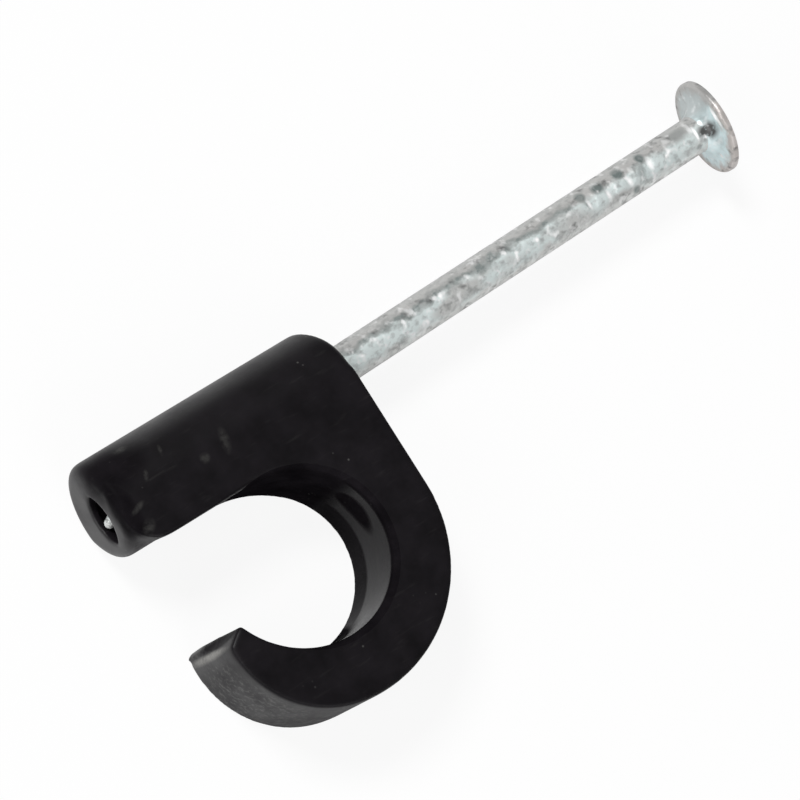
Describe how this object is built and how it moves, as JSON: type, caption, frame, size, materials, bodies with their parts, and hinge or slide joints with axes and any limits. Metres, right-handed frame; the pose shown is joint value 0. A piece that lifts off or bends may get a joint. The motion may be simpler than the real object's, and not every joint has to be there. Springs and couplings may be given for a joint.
{
  "type": "nail-in cable clip",
  "caption": "Moulded black plastic hook clip with a round barrel that holds a domed steel nail, made to fix a round cable to a wall.",
  "frame": {"origin": "centre of the nail's bore at the clip's wall face", "axes": "+X along the clip's barrel from the wall face to the nail head, +Y from the hook to the barrel, +Z along the cable, across the clip's flat faces"},
  "size_m": [0.04, 0.0176, 0.0058],
  "materials": {
    "black_plastic": "moulded black plastic, semi-gloss",
    "zinc_plated_steel": "bright zinc plate, mottled"
  },
  "bodies": {
    "root": {"clip": "black_plastic", "nail": "zinc_plated_steel"}
  },
  "joints": []
}
